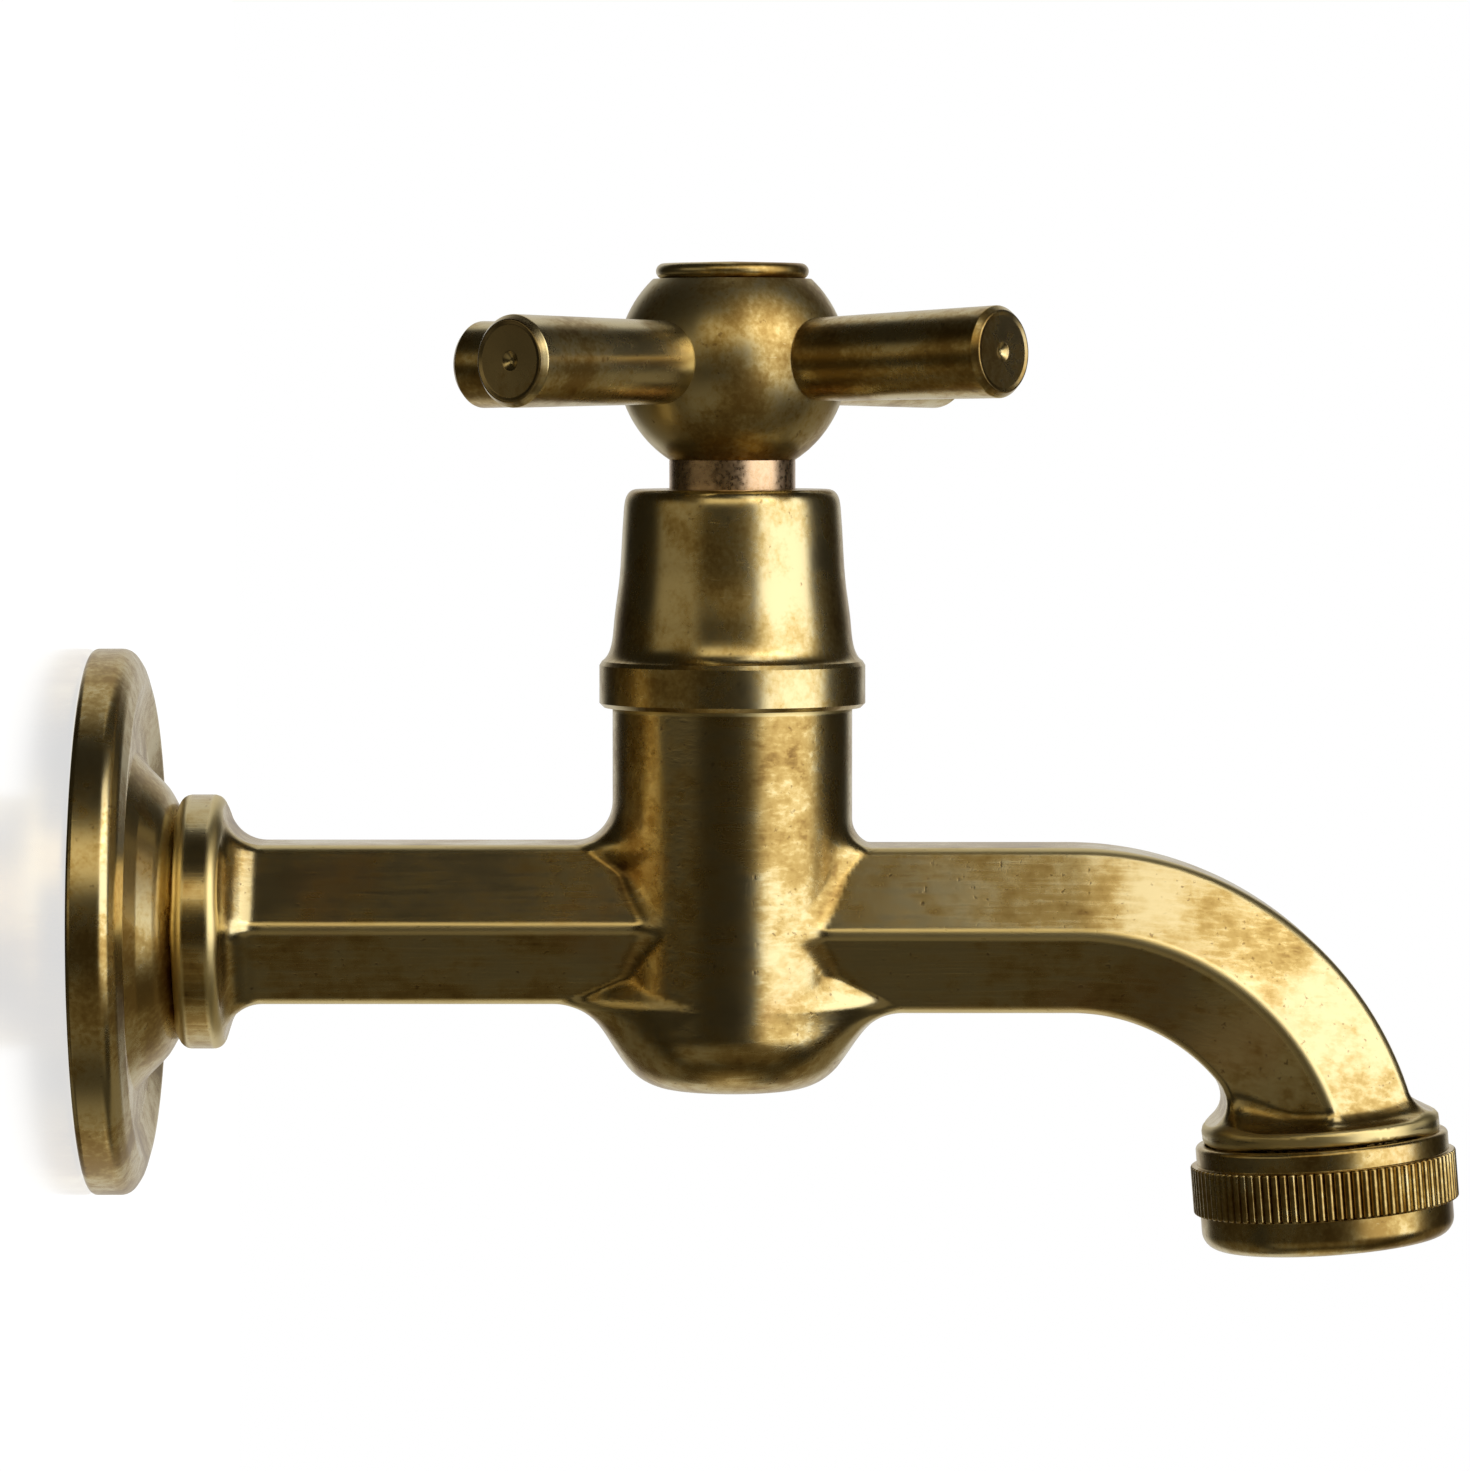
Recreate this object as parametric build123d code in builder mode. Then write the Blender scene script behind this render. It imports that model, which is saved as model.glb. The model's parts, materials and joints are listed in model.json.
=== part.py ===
from build123d import *
import os
from math import cos, radians, sin, sqrt

# Wall tap with a cross handle. The origin is on the inlet axis in the wall plane:
# +X runs out of the wall towards the spout, +Z is up. All sizes are in millimetres.

# ---- driving dimensions ------------------------------------------------------------
valve_x = 73.15           # wall to valve axis
slip = 0.03               # radial gap between pieces that are screwed or pressed together
running = 0.06            # radial gap of a running fit
loose = 0.2               # gap round a piece that only lies in place
edge_break = 0.5          # small chamfer on turned pieces

# inlet: G1/2 tail, collar, hexagonal barrel
inlet_thread_r = 10.478
tail_start = -17.0
tail_end = 2.0
shank_r = 10.2
inlet_bore_r = 6.4
inlet_bore_end = 56.0
collar_back = 10.0
collar_front = 14.2
collar_r = 14.55
collar_chamfer = 0.8
collar_nose = 1.7         # the collar slopes down by collar_nose_drop over this length
collar_nose_drop = 3.0
barrel_flats = 18.2
barrel_flare = 4.2        # length of the concave flare behind the collar
flare_arc_r = 4.6
ridge_round = 0.7

# valve chamber
chamber_r = 13.7
chamber_top = 24.6
chamber_floor = -19.35
chamber_dome = 0.3
chamber_round = 7.0
seat_top = -2.0
seat_thick = 3.0
seat_bore_r = 4.8
seat_land_r = 7.0
dive_start = (55.5, -0.5) # the passage from the inlet bore down under the seat
dive_end = (66.0, -9.6)
dive_bore_r = 4.5
upper_port_z = 2.7        # the passage from above the seat into the spout
upper_port_r = 4.4
upper_port_end = 22.0
upper_cavity_r = 9.4
upper_cavity_floor = 2.0
lower_cavity_r = 8.0
lower_cavity_floor = -14.6
headwork_thread_r = 10.478
headwork_reach = 12.6     # how deep the headwork screws in

# spout and outlet
spout_flats = 18.9
spout_z = -0.65
spout_bend_x = 111.8
spout_bend_r = 31.0
spout_bend_angle = 74.0
spout_bore_r = 5.8
spout_bore_start = 16.0   # from the valve axis
outlet_tilt = 4.6         # outlet axis off the vertical
outlet_top = (140.72, 0, -24.70)
outlet_thread_r = 13.22   # G3/4
outlet_thread_start = 0.9
outlet_thread_end = 7.0
outlet_well_r = 9.3
outlet_well_start = 1.4
outlet_relief = 1.0       # depth of the groove above the thread
funnel_top = -4.0         # the bore widens from here
funnel_top_r = 4.5
funnel_end = -1.0
funnel_end_r = 7.6
foot_top = -7.0
foot_rim = -1.8           # the foot's rim, above the nut
foot_bottom = -0.2
foot_r = 13.5
foot_waist_bulge = 1.2

# wall flange
flange_r = 31.25
flange_rim = 3.8
flange_edge = 1.1         # rounded edges of the rim
flange_edge_drop = 0.8
flange_edge_r = 1.4
flange_crest_r = 27.2
flange_crest_x = 6.5
flange_floor_r = 22.5
flange_floor_x = 4.8
flange_root_r = 19.2
flange_root_x = 5.0
flange_waist_r = 16.0
flange_waist_x = 8.1
flange_neck_r = 12.9
flange_neck_x = 10.0
flange_bore_r = 10.8
flange_wall = 1.5
flange_neck_wall = 0.6    # radial thickness lost inside the slopes

# headwork, gland and bonnet
gasket_thick = 1.0
gasket_r = 12.4
headwork_foot_gap = 0.4
headwork_collar_top = 29.0
headwork_hex_top = 33.0
headwork_hex_flats = 20.0
headwork_neck_r = 8.0
headwork_top = 38.0
headwork_web = 1.0        # wall between the spindle thread and the packing
spindle_thread_r = 5.0
stem_r = 4.0
packing_floor = 31.7
packing_top = 35.6
packing_r = 6.2
gland_flats = 18.0
gland_bottom = 34.5
gland_roof = 39.3
gland_top = 41.2
bonnet_ring_r = 15.2
bonnet_ring_top = 29.9
bonnet_top = 49.5
bonnet_top_r = 12.45
bonnet_top_round = 1.7
bonnet_shoulder = 3.2     # below the top
bonnet_waist = (12.97, 38.6)
bonnet_skirt = (13.5, 34.5)
bonnet_roof = 2.4         # thickness of its top
bonnet_bore_r = 11.0
bonnet_land_r = 11.95
bonnet_mouth_r = 7.5

# valve and spindle
washer_r = 6.6
washer_thick = 3.0
plate_thick = 2.0
jumper_boss_r = 4.4
jumper_top = 15.0
jumper_stem_r = 2.5
jumper_stud_r = 2.0
jumper_stud = 3.2         # how far the stud reaches below the seat
jumper_nut_thick = 2.2
jumper_nut_flats = 6.0
thrust_gap = 0.1
socket_depth = 1.5        # of the spindle's bore above the jumper stem
spindle_bottom = 4.6
spindle_thread_top = 25.4
sleeve_r = 7.2
sleeve_bottom = 43.0

# handle
hub_z = 63.85
hub_r = 13.15
hub_top = 73.4
hub_bottom = 52.8
drive_square = 6.4
drive_bottom = 55.0
drive_top = 65.5
drive_chamfer = 0.6
screw_seat = 67.0
screw_r = 2.45
screw_length = 9.0
screw_head_r = 4.6
screw_head = 3.0
screw_slot = (1.2, 1.5)   # width and depth
counterbore_r = 5.2
arm_angle = 50.8
arm_count = 4
arm_length = 38.7
arm_rise = (0, 0, 0, 1.6)  # the last arm is screwed in slightly high, in degrees
arm_root = 12.3
arm_root_r = 4.4
arm_tip_r = 5.15
arm_tip_chamfer = 0.8
arm_spigot_r = 3.0
arm_spigot = 4.6
cap_r = 8.7
cap_thick = 2.0
cap_spigot_r = 7.0
cap_recess = 2.2
cap_skirt = 1.3
cap_round = 0.7
cap_crown = 0.25
cap_web = 0.2

# outlet nut and what it holds
nut_r = 14.45
nut_knurl_r = 15.2
nut_knurl_start = 2.35
nut_knurl_end = 7.85
nut_length = 12.1
nut_round = 3.1
nut_lip = 9.0
nut_mouth_r = 9.0
nut_cavity_r = outlet_thread_r + running
knurl_chamfer = 0.3
outlet_washer_thick = 1.0
insert_flange_r = nut_cavity_r - 0.4
insert_bottom = nut_lip - 0.1
insert_tube_r = 8.6
insert_tube_bore_r = 7.4
jet_r = 0.8
jet_rings = ((2.7, 6), (5.4, 12))   # radius and number of holes
screen_r = 8.2
screen_open_r = 7.2
screen_thick = 0.4
screen_hole_r = 0.45
screen_pitch_r = 0.8

# ---- planes ------------------------------------------------------------------------
tilt = radians(outlet_tilt)
inlet_section = Plane.XZ
valve_section = Plane(origin=(valve_x, 0, 0), x_dir=(1, 0, 0), z_dir=(0, -1, 0))
outlet_section = Plane(origin=outlet_top, x_dir=(cos(tilt), 0, sin(tilt)), z_dir=(0, 1, 0))
outlet_face = Plane(origin=outlet_top, x_dir=(cos(tilt), 0, sin(tilt)), z_dir=(sin(tilt), 0, -cos(tilt)))
valve_axis = Axis((valve_x, 0, 0), (0, 0, 1))
outlet_axis = Axis(outlet_top, (sin(tilt), 0, -cos(tilt)))


# ---- helpers that add to the open part ---------------------------------------------
def turn(section, axis, outline, mode=Mode.ADD):
    """Revolve a closed outline of (x, y) points on a section plane about an axis."""
    with BuildSketch(section) as profile:
        with BuildLine():
            Polyline(*outline, close=True)
        make_face()
    revolve(profile.sketch, axis=axis, mode=mode)


def turn_valve(outline, mode=Mode.ADD):
    """Revolve (radius, height) points about the valve axis."""
    turn(valve_section, valve_axis, outline, mode)


def turn_outlet(outline, mode=Mode.ADD):
    """Revolve (radius, depth) points about the outlet axis, depth 0 at the top of the nut."""
    turn(outlet_section, outlet_axis, outline, mode)


def bore_between(start, end, radius):
    """Cut a round passage between two (x, z) points in the mid plane."""
    run = Vector(end[0] - start[0], 0, end[1] - start[1])
    with BuildSketch(Plane(origin=(start[0], 0, start[1]), z_dir=run)) as opening:
        Circle(radius)
    extrude(opening.sketch, amount=run.length, mode=Mode.SUBTRACT)


def hex_ring(z_low, z_high, flats, hole_r):
    """Add a hexagonal ring round the valve axis."""
    with BuildSketch(Plane(origin=(valve_x, 0, z_low))) as ring:
        RegularPolygon(flats / sqrt(3), 6)
        if hole_r:
            Circle(hole_r, mode=Mode.SUBTRACT)
    extrude(ring.sketch, amount=z_high - z_low)


def arm_direction(number):
    """The direction in which an arm leaves the hub."""
    around = radians(arm_angle + 360 / arm_count * number)
    rise = radians(arm_rise[number])
    return Vector(cos(around) * cos(rise), sin(around) * cos(rise), sin(rise))


def finish(piece, name):
    """Label a finished piece and write its STEP file."""
    piece.part.label = name
    export_step(piece.part, f"parts/{name}.step")


os.makedirs("parts", exist_ok=True)

# ---- body: one casting -------------------------------------------------------------
barrel_apothem = barrel_flats / 2
with BuildLine() as spout_path:
    spout_run = Line((valve_x, 0, spout_z), (spout_bend_x, 0, spout_z))
    bend_centre = (spout_bend_x, spout_z - spout_bend_r)
    half_turn = radians(spout_bend_angle / 2)
    full_turn = radians(spout_bend_angle)
    ThreePointArc(
        (spout_bend_x, 0, spout_z),
        (bend_centre[0] + spout_bend_r * sin(half_turn), 0, bend_centre[1] + spout_bend_r * cos(half_turn)),
        (bend_centre[0] + spout_bend_r * sin(full_turn), 0, bend_centre[1] + spout_bend_r * cos(full_turn)),
    )

with BuildPart() as body:
    # hexagonal inlet barrel
    with BuildSketch(Plane.YZ.offset(collar_back)):
        RegularPolygon(barrel_flats / sqrt(3), 6)
        fillet(vertices(), ridge_round)
    extrude(amount=valve_x - collar_back)
    # tail, shank and collar with its concave flare
    with BuildSketch(inlet_section):
        with BuildLine():
            flare_top = (collar_front + collar_nose, collar_r - collar_nose_drop)
            flare_end = (flare_top[0] + barrel_flare, barrel_apothem)
            Polyline((tail_start, 0), (tail_start, inlet_thread_r - 1), (tail_start + 1, inlet_thread_r),
                     (tail_end, inlet_thread_r), (tail_end, shank_r), (collar_back, shank_r),
                     (collar_back, collar_r - 2 * collar_chamfer), (collar_back + collar_chamfer, collar_r),
                     (collar_front, collar_r), flare_top)
            RadiusArc(flare_top, flare_end, -flare_arc_r)
            Polyline(flare_end, (flare_end[0], 0), (tail_start, 0))
        make_face()
    revolve(axis=Axis.X)
    # chamber, with a rounded corner and a shallow domed floor
    with BuildSketch(valve_section):
        with BuildLine():
            Line((0, chamber_top), (chamber_r, chamber_top))
            Line((chamber_r, chamber_top), (chamber_r, chamber_floor + chamber_dome))
            Line((chamber_r, chamber_floor + chamber_dome), (0, chamber_floor))
            Line((0, chamber_floor), (0, chamber_top))
        make_face()
        fillet(vertices().group_by(Axis.X)[-1].sort_by(Axis.Y)[:1], chamber_round)
    revolve(axis=valve_axis)
    # hexagonal spout along its bend
    with BuildSketch(Plane(origin=(valve_x, 0, spout_z), x_dir=(0, 1, 0), z_dir=(1, 0, 0))):
        RegularPolygon(spout_flats / sqrt(3), 6)
        fillet(vertices(), ridge_round)
    sweep(path=spout_path.line)
    # round foot and outlet thread
    with BuildSketch(outlet_section):
        with BuildLine():
            foot_neck_r = spout_flats / 2
            foot_waist = (foot_neck_r + foot_waist_bulge, (foot_top + foot_rim) / 2)
            relief_r = outlet_thread_r - outlet_relief
            Line((0, foot_top), (foot_neck_r, foot_top))
            ThreePointArc((foot_neck_r, foot_top), foot_waist, (foot_r, foot_rim))
            Polyline((foot_r, foot_rim), (foot_r, foot_bottom), (relief_r, foot_bottom),
                     (relief_r, outlet_thread_start), (outlet_thread_r, outlet_thread_start),
                     (outlet_thread_r, outlet_thread_end), (0, outlet_thread_end), (0, foot_top))
        make_face()
    revolve(axis=outlet_axis)
    # waterway: inlet bore, dive under the seat, cavities, seat, outlet
    bore_between((tail_start, 0), (inlet_bore_end, 0), inlet_bore_r)
    bore_between(dive_start, dive_end, dive_bore_r)
    turn_valve([(0, lower_cavity_floor), (lower_cavity_r, lower_cavity_floor),
                (lower_cavity_r, seat_top - seat_thick), (0, seat_top - seat_thick)], Mode.SUBTRACT)
    turn_valve([(0, seat_top - seat_thick), (seat_bore_r, seat_top - seat_thick), (seat_bore_r, seat_top),
                (seat_land_r, seat_top), (upper_cavity_r, upper_cavity_floor),
                (upper_cavity_r, chamber_top - headwork_reach),
                (headwork_thread_r, chamber_top - headwork_reach),
                (headwork_thread_r, chamber_top), (0, chamber_top)], Mode.SUBTRACT)
    bore_between((valve_x, upper_port_z), (valve_x + upper_port_end, upper_port_z), upper_port_r)
    bore_between((valve_x + spout_bore_start, spout_z), (spout_bend_x, spout_z), spout_bore_r)
    with BuildSketch(Plane(origin=(spout_bend_x, 0, spout_z), x_dir=(0, 1, 0), z_dir=(1, 0, 0))):
        Circle(spout_bore_r)
    sweep(path=spout_path.edges().filter_by(GeomType.CIRCLE)[0], mode=Mode.SUBTRACT)
    turn_outlet([(0, funnel_top), (funnel_top_r, funnel_top), (funnel_end_r, funnel_end),
                 (funnel_end_r, outlet_well_start), (outlet_well_r, outlet_well_start),
                 (outlet_well_r, outlet_thread_end), (0, outlet_thread_end)], Mode.SUBTRACT)
finish(body, "body")

# ---- wall flange: a thin hollow cover ----------------------------------------------
with BuildPart() as wall_flange:
    with BuildSketch(inlet_section):
        with BuildLine():
            Line((0, flange_r - flange_wall), (0, flange_r - flange_edge))
            RadiusArc((0, flange_r - flange_edge), (flange_edge, flange_r), flange_edge)
            Line((flange_edge, flange_r), (flange_rim, flange_r))
            edge_end = (flange_rim + flange_edge, flange_r - flange_edge_drop)
            RadiusArc((flange_rim, flange_r), edge_end, flange_edge_r)
            Polyline(edge_end, (flange_crest_x, flange_crest_r),
                     (flange_floor_x, flange_floor_r), (flange_root_x, flange_root_r),
                     (flange_waist_x, flange_waist_r), (flange_neck_x, flange_neck_r),
                     (flange_neck_x, flange_bore_r), (flange_neck_x - flange_wall, flange_bore_r),
                     (flange_neck_x - flange_wall, flange_neck_r - flange_neck_wall),
                     (flange_waist_x - flange_wall, flange_waist_r - flange_neck_wall),
                     (flange_root_x - flange_wall, flange_root_r - flange_neck_wall),
                     (flange_floor_x - flange_wall, flange_floor_r),
                     (flange_crest_x - flange_wall, flange_crest_r),
                     (flange_rim, flange_r - flange_wall), (0, flange_r - flange_wall))
        make_face()
    revolve(axis=Axis.X)
finish(wall_flange, "wall_flange")

# ---- headwork: screws into the chamber and carries the spindle thread ---------------
gasket_top = chamber_top + gasket_thick
headwork_r = headwork_thread_r - slip
headwork_foot = chamber_top - headwork_reach + headwork_foot_gap
spindle_nut_r = spindle_thread_r + running

with BuildPart() as headwork:
    turn_valve([(spindle_nut_r, headwork_foot), (headwork_r - edge_break, headwork_foot),
                (headwork_r, headwork_foot + edge_break),
                (headwork_r, gasket_top), (gasket_r, gasket_top), (gasket_r, headwork_collar_top),
                (headwork_neck_r, headwork_collar_top), (headwork_neck_r, headwork_top),
                (packing_r, headwork_top), (packing_r, packing_floor), (stem_r + running, packing_floor),
                (stem_r + running, packing_floor - headwork_web),
                (spindle_nut_r, packing_floor - headwork_web)])
    hex_ring(headwork_collar_top, headwork_hex_top, headwork_hex_flats, headwork_neck_r - edge_break)
finish(headwork, "headwork")

with BuildPart() as headwork_gasket:
    turn_valve([(headwork_thread_r, chamber_top), (gasket_r - loose, chamber_top),
                (gasket_r - loose, gasket_top), (headwork_thread_r, gasket_top)])
finish(headwork_gasket, "headwork_gasket")

# ---- stuffing box round the spindle -------------------------------------------------
with BuildPart() as gland_packing:
    turn_valve([(stem_r + running, packing_floor), (packing_r - slip, packing_floor),
                (packing_r - slip, packing_top), (stem_r + running, packing_top)])
finish(gland_packing, "gland_packing")

with BuildPart() as gland_follower:
    turn_valve([(stem_r + loose, packing_top), (packing_r - slip, packing_top),
                (packing_r - slip, gland_roof), (stem_r + loose, gland_roof)])
finish(gland_follower, "gland_follower")

with BuildPart() as gland_nut:
    hex_ring(gland_bottom, gland_top, gland_flats, headwork_neck_r + slip)
    turn_valve([(stem_r + loose, gland_roof), (headwork_neck_r + loose, gland_roof),
                (headwork_neck_r + loose, gland_top), (stem_r + loose, gland_top)])
finish(gland_nut, "gland_nut")

# ---- bonnet: bell-shaped cover with a ring at its foot -------------------------------
with BuildPart() as bonnet:
    with BuildSketch(valve_section):
        with BuildLine():
            rim = (bonnet_top_r - bonnet_top_round, bonnet_top)
            shoulder = (bonnet_top_r, bonnet_top - bonnet_shoulder)
            foot = (bonnet_ring_r - 0.3, bonnet_ring_top)
            roof = bonnet_top - bonnet_roof
            Line((bonnet_mouth_r, bonnet_top), rim)
            Spline(rim, shoulder, tangents=((1, 0), (0.08, -1)))
            Spline(shoulder, bonnet_waist, bonnet_skirt, foot, tangents=((0.08, -1), (1, -0.6)))
            Polyline(foot, (bonnet_ring_r, bonnet_ring_top - edge_break),
                     (bonnet_ring_r, chamber_top + edge_break),
                     (bonnet_ring_r - edge_break, chamber_top), (gasket_r + slip, chamber_top),
                     (gasket_r + slip, headwork_collar_top + edge_break),
                     (bonnet_land_r, headwork_collar_top + 2 * edge_break),
                     (bonnet_land_r, headwork_hex_top), (bonnet_bore_r, headwork_hex_top + 3 * edge_break),
                     (bonnet_bore_r, roof), (bonnet_mouth_r, roof), (bonnet_mouth_r, bonnet_top))
        make_face()
    revolve(axis=valve_axis)
finish(bonnet, "bonnet")

# ---- jumper: the valve plate, its washer and nut --------------------------------------
washer_top = seat_top + washer_thick
plate_top = washer_top + plate_thick
jumper_shoulder = spindle_bottom - thrust_gap
with BuildPart() as jumper_valve:
    turn_valve([(0, seat_top - jumper_stud), (jumper_stud_r, seat_top - jumper_stud),
                (jumper_stud_r, washer_top), (washer_r, washer_top),
                (washer_r, plate_top), (jumper_boss_r, plate_top), (jumper_boss_r, jumper_shoulder),
                (jumper_stem_r, jumper_shoulder), (jumper_stem_r, jumper_top), (0, jumper_top)])
finish(jumper_valve, "jumper_valve")

with BuildPart() as jumper_washer:
    turn_valve([(jumper_stud_r + slip, seat_top), (washer_r, seat_top),
                (washer_r, washer_top), (jumper_stud_r + slip, washer_top)])
finish(jumper_washer, "jumper_washer")

with BuildPart() as jumper_nut:
    hex_ring(seat_top - jumper_nut_thick, seat_top, jumper_nut_flats, jumper_stud_r + slip)
finish(jumper_nut, "jumper_nut")

# ---- spindle ---------------------------------------------------------------------------
with BuildPart() as spindle:
    socket_top = jumper_top + socket_depth
    turn_valve([(jumper_stem_r + running, spindle_bottom), (spindle_thread_r - edge_break, spindle_bottom),
                (spindle_thread_r, spindle_bottom + edge_break),
                (spindle_thread_r, spindle_thread_top - edge_break),
                (spindle_thread_r - edge_break, spindle_thread_top), (stem_r, spindle_thread_top),
                (stem_r, drive_bottom), (0, drive_bottom), (0, socket_top),
                (jumper_stem_r + running, socket_top - edge_break)])
    with BuildSketch(Plane(origin=(valve_x, 0, drive_bottom))):
        Rectangle(drive_square, drive_square, rotation=arm_angle)
        chamfer(vertices(), drive_chamfer)
    extrude(amount=drive_top - drive_bottom)
    # tapped hole for the handle screw
    hole_r = screw_r + 2 * slip
    hole_floor = screw_seat - screw_length - edge_break
    turn_valve([(0, hole_floor - 1), (hole_r, hole_floor), (hole_r, drive_top), (0, drive_top)],
               Mode.SUBTRACT)
finish(spindle, "spindle")

with BuildPart() as spindle_sleeve:
    turn_valve([(stem_r + slip, sleeve_bottom), (sleeve_r - edge_break, sleeve_bottom),
                (sleeve_r, sleeve_bottom + edge_break),
                (sleeve_r, hub_bottom), (stem_r + slip, hub_bottom)])
finish(spindle_sleeve, "spindle_sleeve")

# ---- handle ------------------------------------------------------------------------------
with BuildPart() as handle_hub:
    with Locations((valve_x, 0, hub_z)):
        Sphere(hub_r)
    # flat top and flat bottom
    split(bisect_by=Plane.XY.offset(hub_top), keep=Keep.BOTTOM)
    split(bisect_by=Plane.XY.offset(hub_bottom), keep=Keep.TOP)
    # square drive hole, screw hole, counterbore and cap recess
    turn_valve([(0, hub_bottom), (stem_r + slip, hub_bottom), (stem_r + slip, drive_bottom),
                (0, drive_bottom)], Mode.SUBTRACT)
    with BuildSketch(Plane(origin=(valve_x, 0, drive_bottom))):
        Rectangle(drive_square + 2 * slip, drive_square + 2 * slip, rotation=arm_angle)
    extrude(amount=drive_top + loose - drive_bottom, mode=Mode.SUBTRACT)
    clearance_r = screw_r + loose
    turn_valve([(0, drive_top), (clearance_r, drive_top), (clearance_r, screw_seat),
                (counterbore_r, screw_seat), (counterbore_r, hub_top - cap_recess),
                (cap_spigot_r, hub_top - cap_recess),
                (cap_spigot_r, hub_top), (0, hub_top)], Mode.SUBTRACT)
    # seats and tapped holes for the arms
    for number in range(arm_count):
        seat_plane = Plane(origin=(valve_x, 0, hub_z), z_dir=arm_direction(number))
        with BuildSketch(seat_plane.offset(arm_root)):
            Circle(arm_root_r + slip)
        extrude(amount=hub_r, mode=Mode.SUBTRACT)
        with BuildSketch(seat_plane.offset(arm_root - arm_spigot - loose)):
            Circle(arm_spigot_r + slip)
        extrude(amount=hub_r, mode=Mode.SUBTRACT)
finish(handle_hub, "handle_hub")

for number in range(arm_count):
    outward = arm_direction(number)
    arm_plane = Plane(origin=(valve_x, 0, hub_z), x_dir=outward, z_dir=outward.cross(Vector(0, 0, 1)))
    with BuildPart() as handle_arm:
        with BuildSketch(arm_plane):
            with BuildLine():
                Polyline((arm_root - arm_spigot, 0), (arm_root - arm_spigot, arm_spigot_r),
                         (arm_root, arm_spigot_r), (arm_root, arm_root_r),
                         (arm_length - arm_tip_chamfer, arm_tip_r),
                         (arm_length, arm_tip_r - arm_tip_chamfer), (arm_length, 0), close=True)
            make_face()
        revolve(axis=Axis(arm_plane.origin, arm_plane.x_dir))
    finish(handle_arm, f"handle_arm_{number + 1}")

with BuildPart() as handle_screw:
    screw_tip = screw_seat - screw_length
    head_top = screw_seat + screw_head
    turn_valve([(0, screw_tip), (screw_r - edge_break, screw_tip), (screw_r, screw_tip + edge_break),
                (screw_r, screw_seat), (screw_head_r, screw_seat), (screw_head_r, head_top - edge_break),
                (screw_head_r - edge_break, head_top), (0, head_top)])
    with BuildSketch(Plane(origin=(valve_x, 0, head_top))):
        Rectangle(3 * screw_head_r, screw_slot[0])
    extrude(amount=-screw_slot[1], mode=Mode.SUBTRACT)
finish(handle_screw, "handle_screw")

with BuildPart() as handle_cap:
    with BuildSketch(valve_section):
        with BuildLine():
            cap_top = hub_top + cap_thick
            rim_top = (cap_r - cap_round, cap_top - cap_crown)
            rim_bottom = (cap_r - cap_round, hub_top)
            skirt_r = cap_spigot_r - slip
            skirt_bottom = hub_top - cap_recess + loose
            Line((0, cap_top), rim_top)
            ThreePointArc(rim_top, (cap_r, hub_top + cap_thick / 2), rim_bottom)
            Polyline(rim_bottom, (skirt_r, hub_top), (skirt_r, skirt_bottom),
                     (skirt_r - cap_skirt, skirt_bottom),
                     (skirt_r - cap_skirt, hub_top - cap_web), (0, hub_top - cap_web), (0, cap_top))
        make_face()
    revolve(axis=valve_axis)
finish(handle_cap, "handle_cap")

# ---- outlet nut and the loose pieces that it holds -----------------------------------------
with BuildPart() as outlet_nut:
    with BuildSketch(outlet_section):
        with BuildLine():
            Polyline((nut_cavity_r, 0), (nut_r - edge_break, 0), (nut_r, edge_break),
                     (nut_r, nut_knurl_start),
                     (nut_knurl_r - knurl_chamfer, nut_knurl_start),
                     (nut_knurl_r, nut_knurl_start + knurl_chamfer),
                     (nut_knurl_r, nut_knurl_end - knurl_chamfer),
                     (nut_knurl_r - knurl_chamfer, nut_knurl_end),
                     (nut_r, nut_knurl_end), (nut_r, nut_length - nut_round))
            RadiusArc((nut_r, nut_length - nut_round), (nut_r - nut_round, nut_length), -nut_round)
            Polyline((nut_r - nut_round, nut_length), (nut_mouth_r, nut_length), (nut_mouth_r, nut_lip),
                     (nut_cavity_r, nut_lip), (nut_cavity_r, 0))
        make_face()
    revolve(axis=outlet_axis)
finish(outlet_nut, "outlet_nut")

washer_end = outlet_thread_end + outlet_washer_thick
washer_bore_r = outlet_well_r + loose / 2
with BuildPart() as outlet_washer:
    turn_outlet([(washer_bore_r, outlet_thread_end), (insert_flange_r, outlet_thread_end),
                 (insert_flange_r, washer_end), (washer_bore_r, washer_end)])
finish(outlet_washer, "outlet_washer")

tube_top = outlet_well_start + 1.4
with BuildPart() as flow_insert:
    turn_outlet([(insert_tube_bore_r, tube_top), (insert_tube_r, tube_top), (insert_tube_r, washer_end),
                 (insert_flange_r, washer_end), (insert_flange_r, insert_bottom), (0, insert_bottom),
                 (0, washer_end), (insert_tube_bore_r, washer_end)])
    with BuildSketch(outlet_face.offset(insert_bottom)):
        Circle(jet_r)
        for ring_r, ring_count in jet_rings:
            with PolarLocations(ring_r, ring_count):
                Circle(jet_r)
    extrude(amount=-2 * (insert_bottom - washer_end), mode=Mode.SUBTRACT)
finish(flow_insert, "flow_insert")

with BuildPart() as outlet_screen:
    turn_outlet([(0, tube_top - screen_thick), (screen_r, tube_top - screen_thick),
                 (screen_r, tube_top), (0, tube_top)])
    with BuildSketch(outlet_face.offset(tube_top)):
        with HexLocations(screen_pitch_r, 9, 9):
            Circle(screen_hole_r)
        Circle(screen_open_r, mode=Mode.INTERSECT)
    extrude(amount=-2 * screen_thick, mode=Mode.SUBTRACT)
finish(outlet_screen, "outlet_screen")
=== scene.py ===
import json
from math import atan2, ceil, cos, hypot, pi, radians, sin, tan

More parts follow.
